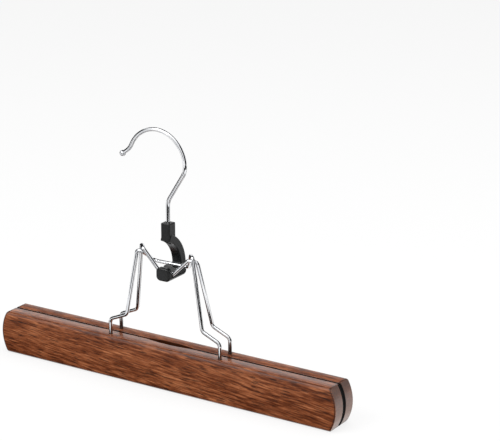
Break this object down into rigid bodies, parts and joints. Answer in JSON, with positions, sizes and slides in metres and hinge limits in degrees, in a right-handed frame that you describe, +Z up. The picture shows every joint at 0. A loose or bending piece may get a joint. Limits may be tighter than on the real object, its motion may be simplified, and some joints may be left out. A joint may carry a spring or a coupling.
{
  "type": "skirt hanger",
  "caption": "Wooden clamp hanger with felt-lined jaws on crossed bent wires, shut by a plastic cam lever that carries a swivel hook.",
  "frame": {"origin": "on the underside of the closed jaws, in the middle of their length and between the two jaws, where a garment goes into the mouth", "axes": "+X along the jaws to the right, +Y from the front jaw to the rear jaw, +Z up towards the hook"},
  "size_m": [0.3, 0.0292, 0.1977],
  "materials": {
    "wood": "satin lacquer, walnut brown",
    "felt": "black felt",
    "chromed_wire": "polished chrome",
    "black_plastic": "satin black"
  },
  "bodies": {
    "front_clamp": {"front_jaw": "wood", "front_felt_left": "felt", "front_felt_right": "felt", "front_wire_frame": "chromed_wire"},
    "rear_clamp": {"rear_jaw": "wood", "rear_felt_left": "felt", "rear_felt_right": "felt", "rear_wire_frame": "chromed_wire"},
    "lever": {"cam_lever": "black_plastic"},
    "hook": {"swivel_hook": "chromed_wire"}
  },
  "joints": [
    {"name": "lever_tilt", "type": "hinge", "parent": "front_clamp", "child": "lever", "pos_m": [0, 0.0098, 0.092], "axis": [1, 0, 0], "range_deg": [0, 60]},
    {"name": "jaw_opening", "type": "hinge", "parent": "front_clamp", "child": "rear_clamp", "pos_m": [0, -0.002, 0.102], "axis": [1, 0, 0], "range_deg": [0, 16]},
    {"name": "hook_swivel", "type": "hinge", "parent": "lever", "child": "hook", "pos_m": [0, 0, 0.12], "axis": [0, 0, 1], "continuous": true}
  ],
  "couplings": [
    {"joint": "jaw_opening", "follows": "lever_tilt", "ratio": 0.2666}
  ]
}
